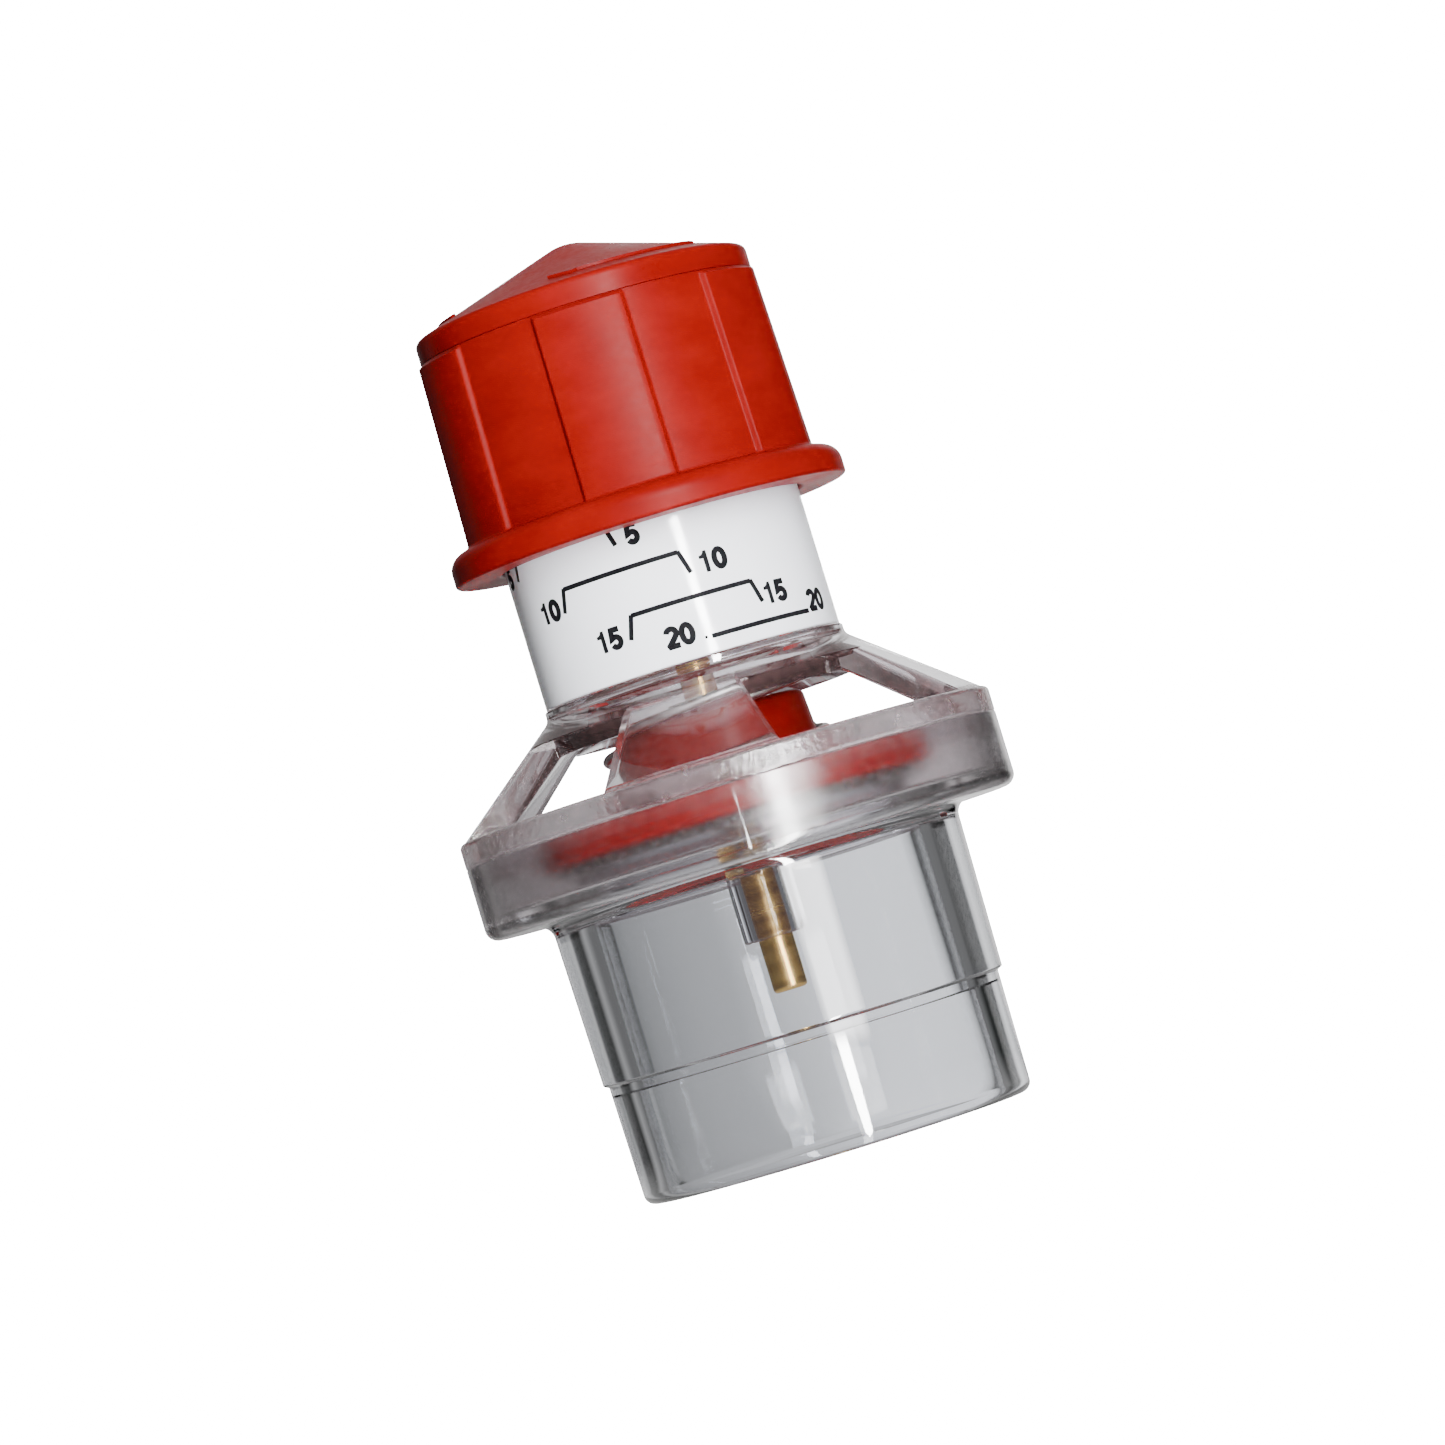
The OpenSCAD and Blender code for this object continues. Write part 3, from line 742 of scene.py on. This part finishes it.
def grip_angles():
    fine = [e + d for e in grip_edges() for d in (-0.9, -0.65, -0.4, -0.15, 0.15, 0.4, 0.65, 0.9)]
    even = [math.degrees(a) for a in even_angles(180)]
    edges = grip_edges()
    kept = [a for a in even if min(abs((a - e + 180) % 360 - 180) for e in edges) > 1.2]
    return sorted({round(math.radians(a % 360), 7) for a in fine + kept})


def panel_radius(z):
    return GRIP_R + (GRIP_TOP_R - GRIP_R) * (z - RIM_TOP) / (COVER_Z - RIM_TOP)


def build_cap():
    core_r, core_out, core_top = 10.0, 10.9, ROOF_Z + 0.6
    pin_r, pin_top = PIN_R + 0.06, ROOF_Z + 0.7
    side = [(panel_radius(z), z) for z in [RIM_TOP + 0.55 + 1.6 * i for i in range(10)]
            + [COVER_Z - d for d in (0.5, 0.4, 0.3, 0.2, 0.12, 0.05)]]
    outline = (
        [(0, pin_top), (pin_r, pin_top), (pin_r, GUIDE_Z + 0.3), (pin_r + 0.3, GUIDE_Z)]
        + arc(GUIDE_R - 0.3, GUIDE_Z + 0.3, 0.3, -90, 0, 4)
        + [(GUIDE_R, ROOF_Z), (core_r, ROOF_Z), (core_r, core_top), (core_out, core_top), (core_out, ROOF_Z)]
        + arc(CAP_BORE_R - 0.4, ROOF_Z - 0.4, 0.4, 90, 0, 4)
        + arc(CAP_BORE_R + 0.35, CAP_Z + 0.35, 0.35, 180, 270, 4)
        + arc(CAP_R - 0.3, CAP_Z + 0.3, 0.3, -90, 0, 5)
        + arc(CAP_R - 1.5, RIM_TOP - 1.5, 1.5, 0, 84, 9)
        + arc(panel_radius(RIM_TOP) + 0.3, RIM_TOP + 0.34, 0.3, 264, 180, 4)
        + side
        + [(COVER_R - 0.06, COVER_Z - 0.005), (13.05, COVER_Z - 0.005), (13.05, COVER_Z - 0.85),
           (11.95, COVER_Z - 0.85), (11.95, COVER_Z - 0.005), (0, COVER_Z - 0.005)]
    )
    shell = lathe(outline, grip_angles(), grip_radius)
    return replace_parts(make_object("cap_grip", shell, "cap", RED), "cap_shell")


COVER_EDGE, TIP_ROUND = 76.25, 5.0
COVER_SLOPE = math.atan((TIP_Z - COVER_EDGE) / COVER_R)


def cover_height(r):
    """Height of the cone of the cap's cover at radius r."""
    join = TIP_ROUND * math.sin(COVER_SLOPE)
    top = TIP_Z - TIP_ROUND * (1 - math.cos(COVER_SLOPE))
    return top - (top - COVER_EDGE) * (r - join) / (COVER_R - 0.4 - join)


def build_cover():
    wall = 1.8
    edge = COVER_R - 0.6
    spigot_r, spigot_out, spigot_z = 12.0, 13.0, COVER_Z - 0.8
    roof_z = TIP_Z - 2.8
    outline = (
        [(0, roof_z), (1, roof_z), (spigot_r, COVER_EDGE - wall + 0.2), (spigot_r, spigot_z),
         (spigot_out, spigot_z), (spigot_out, COVER_Z), (COVER_R - 0.07, COVER_Z), (COVER_R, COVER_Z + 0.06)]
        + arc(edge, COVER_EDGE - 0.55, 0.6, 0, 90 - math.degrees(COVER_SLOPE), 7)
        + [(r, cover_height(r)) for r in (12.0, 9.5, 7.0, 4.5, 2.6)]
        + arc(0, TIP_Z - TIP_ROUND, TIP_ROUND, 90 - math.degrees(COVER_SLOPE), 90, 7)[:-1]
        + [(0, TIP_Z)]
    )
    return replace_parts(make_object("cap_cone", lathe(outline), "cap", RED_COVER), "cap_cover")


def build_arrow(index, start, sweep):
    """A raised arrow along the cone's foot: it shows which way the cap turns down."""
    middle, shaft, head, head_sweep = 12.2, 0.28, 0.75, 11.0
    steps = 40
    bm = bmesh.new()
    rows = []
    for i in range(steps + 1):
        a = math.radians(start + sweep * i / steps)
        left = abs(sweep) * (1 - i / steps)
        half = shaft if left > head_sweep else max(head * left / head_sweep, 0.02)
        row = []
        for side, lift in ((-1, -0.1), (-0.8, 0.22), (0.8, 0.22), (1, -0.1)):
            r = middle + side * half
            row.append(bm.verts.new((r * math.cos(a), r * math.sin(a), cover_height(r) + lift)))
        rows.append(row)
    for low, high in zip(rows, rows[1:]):
        for j in range(4):
            bm.faces.new([low[j], low[(j + 1) % 4], high[(j + 1) % 4], high[j]])
    bm.faces.new(rows[0])
    bm.faces.new(rows[-1][::-1])
    return make_object(f"turn_arrow_{index}", bm, "cap", RED_COVER)


build_cap()
build_cover()
for index in range(3):
    build_arrow(index, VIEW_ANGLE - 62 + 120 * index, -68)

# ---- valve ------------------------------------------------------------------------------------


def build_disc():
    pin = PIN_R + 0.02
    nose_z = PLATE_Z - 1.1
    under_r = PASSAGE_R - 1
    pocket_in, pocket_out, pocket_top = 3.0, 7.2, HUB_Z - 1.3
    outline = (
        [(pin, nose_z), (pocket_in, nose_z), (pocket_in, pocket_top - 0.3), (pocket_in + 0.3, pocket_top),
         (pocket_out - 0.3, pocket_top), (pocket_out, pocket_top - 0.3), (pocket_out, nose_z + 0.2),
         (pocket_out + 0.2, nose_z)]
        + arc(under_r - 0.2, nose_z + 0.2, 0.2, -90, 0, 3)
        + [(under_r, PLATE_Z)]
        + arc(DISC_R - 0.4, PLATE_Z + 0.4, 0.4, -90, 0, 4)
        + arc(DISC_R - 0.4, PLATE_TOP + 0.6, 0.4, 0, 90, 4)
        + arc(DISC_R - 0.9, PLATE_TOP + 0.8, 0.2, 90, 180, 3)
        + arc(DISC_R - 1.4, PLATE_TOP + 0.3, 0.3, 0, -90, 3)
        + [(HUB_R + 1.6, PLATE_TOP)]
        + arc(HUB_R + 0.3, PLATE_TOP + 0.3, 0.3, 270, 180, 3)
        + arc(HUB_TOP_R - 0.6, HUB_Z - 0.6, 0.6, 0, 90, 6)
        + [(pin, HUB_Z)]
    )
    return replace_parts(make_object("disc", lathe(outline), "valve", RED_DISC), "valve_disc")


def build_pin():
    groove_r = PIN_R - 0.25
    groove_low, groove_high = bottom_of("pin_clip") - 0.02, bottom_of("pin_clip") + 0.52
    outline = (
        [(0, PIN_Z)] + arc(PIN_R - 0.35, PIN_Z + 0.35, 0.35, -90, 0, 5)
        + [(PIN_R, groove_low), (groove_r, groove_low), (groove_r, groove_high), (PIN_R, groove_high)]
        + arc(PIN_R - 0.35, PIN_TOP - 0.35, 0.35, 0, 90, 5) + [(0, PIN_TOP)]
    )
    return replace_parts(make_object("pin", lathe(outline, even_angles(72)), "valve", BRASS), "guide_pin")


def wire_height(t):
    """Height of the wire's centre after t turns: it climbs little on the closed turn at each end."""
    close = WIRE * 1.02
    foot, full = SPRING_Z + WIRE / 2, SPRING_TOP - SPRING_Z - WIRE
    pitch = (full - 2 * close) / COILS
    if t < 1:
        return foot + close * t
    if t > COILS + 1:
        return foot + close + pitch * COILS + close * (t - COILS - 1)
    return foot + close + pitch * (t - 1)


def build_spring(name, first, last):
    """A stretch of the spring between two counts of turns, as a round wire."""
    per_turn, sides = 60, 12
    steps = round((last - first) * per_turn)
    bm = bmesh.new()
    rows = []
    for i in range(steps + 1):
        t = first + (last - first) * i / steps
        a = TURN * t + math.radians(SPRING_ANGLE)
        row = []
        for j in range(sides):
            b = TURN * j / sides
            r = SPRING_R + WIRE / 2 * math.cos(b)
            z = wire_height(t) + WIRE / 2 * math.sin(b)
            row.append(bm.verts.new((r * math.cos(a), r * math.sin(a), z)))
        rows.append(row)
    for low, high in zip(rows, rows[1:]):
        for j in range(sides):
            bm.faces.new([low[j], low[(j + 1) % sides], high[(j + 1) % sides], high[j]])
    bm.faces.new(rows[0][::-1])
    bm.faces.new(rows[-1])
    return make_object(name, bm, None, STEEL, 60)


SPRING_SPLIT = 3.2  # turns at which the spring is cut into a lower and an upper piece
lower = build_spring("spring_lower", 0, SPRING_SPLIT)
upper = build_spring("spring_upper", SPRING_SPLIT, COILS + 2)
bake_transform(lower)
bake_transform(upper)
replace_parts(upper, "spring")
build_disc()
build_pin()

# ---- CAD nodes that stay, with better materials -----------------------------------------------

KEPT = {
    "body_gasket": CLEAR_RUBBER,
    "neck_oring": RUBBER,
    "screw_tube": RED,
    "thrust_washer": ACETAL,
    "valve_seal": SILICONE,
    "pin_clip": STEEL,
}
for name, material in KEPT.items():
    for material_slot in nodes[name].material_slots:
        material_slot.link = "OBJECT"
        material_slot.material = material

# ---- floor, light and camera ------------------------------------------------------------------

facing = math.radians(VIEW_ANGLE)
TOWARDS = Vector((math.cos(facing), math.sin(facing), 0))  # from the valve to the camera
RIGHT = Vector((-math.sin(facing), math.cos(facing), 0))
UP = Vector((0, 0, 1))
WHITE_LIGHT = 24.0


def towards(azimuth):
    """The level direction at an azimuth in degrees, from the camera's side to its right."""
    return TOWARDS * math.cos(math.radians(azimuth)) + RIGHT * math.sin(math.radians(azimuth))


# Brightness of the studio's back wall, from its left edge (0) to its right edge (1): a lit backdrop
# between dark flags.
BACKDROP = (
    (0.0, 0.10), (0.12, 0.12), (0.16, 0.30), (0.205, 0.0),
    (0.30, 0.0), (0.318, 0.26), (0.40, 0.33), (0.47, 0.46),
    (0.50, 0.75), (0.53, 1.10), (0.66, 1.20), (0.70, 0.70),
    (0.725, 0.0), (0.83, 0.0), (0.87, 0.12), (1.0, 0.15),
)
BACKDROP_LEVEL, FRONT_LEVEL, TOP_LEVEL, UNDER_LEVEL = 1.45, 0.16, 0.45, 0.75
KEY_ANGLE = 18.5  # of the tall lamp, from the camera's side to its right


def studio_level(tree, vector):
    """Brightness of the room in the direction of a unit vector."""
    across = spread(tree, vector_maths(tree, "DOT_PRODUCT", vector, RIGHT), 0, 1, (-1, 1))
    ramp = tree.nodes.new("ShaderNodeValToRGB")
    stops = ramp.color_ramp.elements
    for stop, (_, level) in zip(stops, (BACKDROP[0], BACKDROP[-1])):
        stop.color = (level, level, level, 1)
    for at, level in BACKDROP[1:-1]:
        stops.new(at).color = (level, level, level, 1)
    tree.links.new(across, ramp.inputs["Fac"])
    wall = maths(tree, "MULTIPLY", ramp.outputs["Color"], BACKDROP_LEVEL)
    behind = spread(tree, vector_maths(tree, "DOT_PRODUCT", vector, -TOWARDS), 0, 1, (-0.15, 0.15))
    above = spread(tree, vector_maths(tree, "DOT_PRODUCT", vector, UP), 0, 1, (0.35, 0.6))
    return blend(tree, above, blend(tree, behind, FRONT_LEVEL, wall), TOP_LEVEL)


def camera_sees(tree, kind, output, strength):
    """Joins the shader for all rays with a plain white one that only the camera sees."""
    white = tree.nodes.new(kind)
    white.inputs["Color"].default_value = (1, 1, 1, 1)
    white.inputs["Strength"].default_value = strength
    path = tree.nodes.new("ShaderNodeLightPath")
    seen = mix_shaders(tree, path.outputs["Is Camera Ray"], output, white.outputs[0])
    out = next(n for n in tree.nodes if n.type.startswith("OUTPUT"))
    tree.links.new(seen, out.inputs["Surface"])


def floor_strips(tree):
    """Two strips that the barrel mirrors as upright highlights: a narrow one near it, a wide one beyond."""
    face = towards(KEY_ANGLE / 2) * BARREL_R * MM
    ahead = vector_maths(tree, "SUBTRACT", place(tree), face)
    unit = vector_maths(tree, "NORMALIZE", ahead)
    far = spread(tree, vector_maths(tree, "LENGTH", ahead), 0, 1, (0.17, 0.21))
    strips = []
    for azimuth, half, edge, brightness in ((KEY_ANGLE, 2.8, 0.7, 200), (24, 8, 5, 25)):
        along = vector_maths(tree, "DOT_PRODUCT", unit, towards(azimuth))
        fade = (math.cos(math.radians(half + edge)), math.cos(math.radians(half)))
        strips.append(spread(tree, along, 0, brightness, fade))
    path = tree.nodes.new("ShaderNodeLightPath")
    mirrored = maths(tree, "SUBTRACT", 1.0, path.outputs["Is Diffuse Ray"])
    return maths(tree, "MULTIPLY", blend(tree, far, *strips), mirrored)


def build_floor():
    bm = bmesh.new()
    bmesh.ops.create_grid(bm, x_segments=1, y_segments=1, size=20000)
    material = bpy.data.materials.new("floor")
    material.use_nodes = True
    tree = material.node_tree
    tree.nodes.remove(tree.nodes["Principled BSDF"])
    room = studio_level(tree, vector_maths(tree, "NORMALIZE", place(tree)))
    under = spread(tree, vector_maths(tree, "LENGTH", place(tree)), 1, 0, (0.04, 0.11))
    level = maths(tree, "ADD", blend(tree, under, room, UNDER_LEVEL), floor_strips(tree))
    glow = tree.nodes.new("ShaderNodeEmission")
    tree.links.new(level, glow.inputs["Strength"])
    camera_sees(tree, "ShaderNodeEmission", glow.outputs[0], WHITE_LIGHT)
    make_object("floor", bm, None, material)


def build_world():
    """White for the camera. What the valve reflects and bends is the studio."""
    world = bpy.data.worlds.new("studio")
    bpy.context.scene.world = world
    world.use_nodes = True
    tree = world.node_tree
    where = tree.nodes.new("ShaderNodeTexCoord")
    room = tree.nodes["Background"]
    room.inputs["Color"].default_value = (1, 1, 1, 1)
    tree.links.new(studio_level(tree, where.outputs["Generated"]), room.inputs["Strength"])
    camera_sees(tree, "ShaderNodeBackground", room.outputs[0], WHITE_LIGHT)


def add_lamp(name, azimuth, height, distance, width, length, level, glossy=True, diffuse=True):
    """A soft box that looks at the valve's middle. Azimuth is from the camera's side, to its right."""
    lamp = bpy.data.lights.new(name, "AREA")
    lamp.shape, lamp.size, lamp.size_y = "RECTANGLE", width, length
    lamp.energy = level * math.pi * width * length
    holder = bpy.data.objects.new(name, lamp)
    middle = Vector((0, 0, 0.04))
    holder.location = middle + towards(azimuth) * distance + UP * height
    holder.rotation_euler = (middle - holder.location).to_track_quat("-Z", "Y").to_euler()
    holder.visible_camera = False
    holder.visible_glossy = holder.visible_transmission = glossy
    holder.visible_diffuse = diffuse
    bpy.context.scene.collection.objects.link(holder)


def add_camera():
    """The photograph's view: near level with the flange, rolled 17 degrees."""
    distance, eye_z, roll, frame_width = 0.500, 0.0170, 17.0, 0.1235
    aim_z, aim_right = 0.0376, 0.00102
    camera = bpy.data.cameras.new("camera")
    camera.sensor_width = 36
    camera.lens = camera.sensor_width * distance / frame_width
    camera.clip_start, camera.clip_end = 0.01, 50
    holder = bpy.data.objects.new("camera", camera)
    bpy.context.scene.collection.objects.link(holder)
    holder.location = TOWARDS * distance + UP * eye_z
    look = (UP * aim_z + RIGHT * aim_right - holder.location).normalized()
    level_up = (UP - look * UP.dot(look)).normalized()
    level_right = look.cross(level_up)
    a = math.radians(roll)
    up = level_up * math.cos(a) + level_right * math.sin(a)
    right = look.cross(up)
    matrix = holder.matrix_world.to_3x3()
    for i in range(3):
        matrix[i] = (right[i], up[i], -look[i])
    holder.rotation_euler = matrix.to_euler()
    bpy.context.scene.camera = holder


build_floor()
build_world()
add_lamp("key", KEY_ANGLE, 0.256, 1.0, 0.11, 0.51, 75)
add_lamp("key_shine", KEY_ANGLE, 0.256, 1.01, 0.11, 0.51, 120, diffuse=False)
add_lamp("low_shine", 23, -0.019, 1.0, 0.22, 0.042, 24, diffuse=False)
add_lamp("front", 8, 0.02, 0.13, 0.05, 0.22, 24, glossy=False)
add_lamp("back", 180, 0.25, 0.50, 0.16, 0.40, 40, glossy=False)
add_camera()
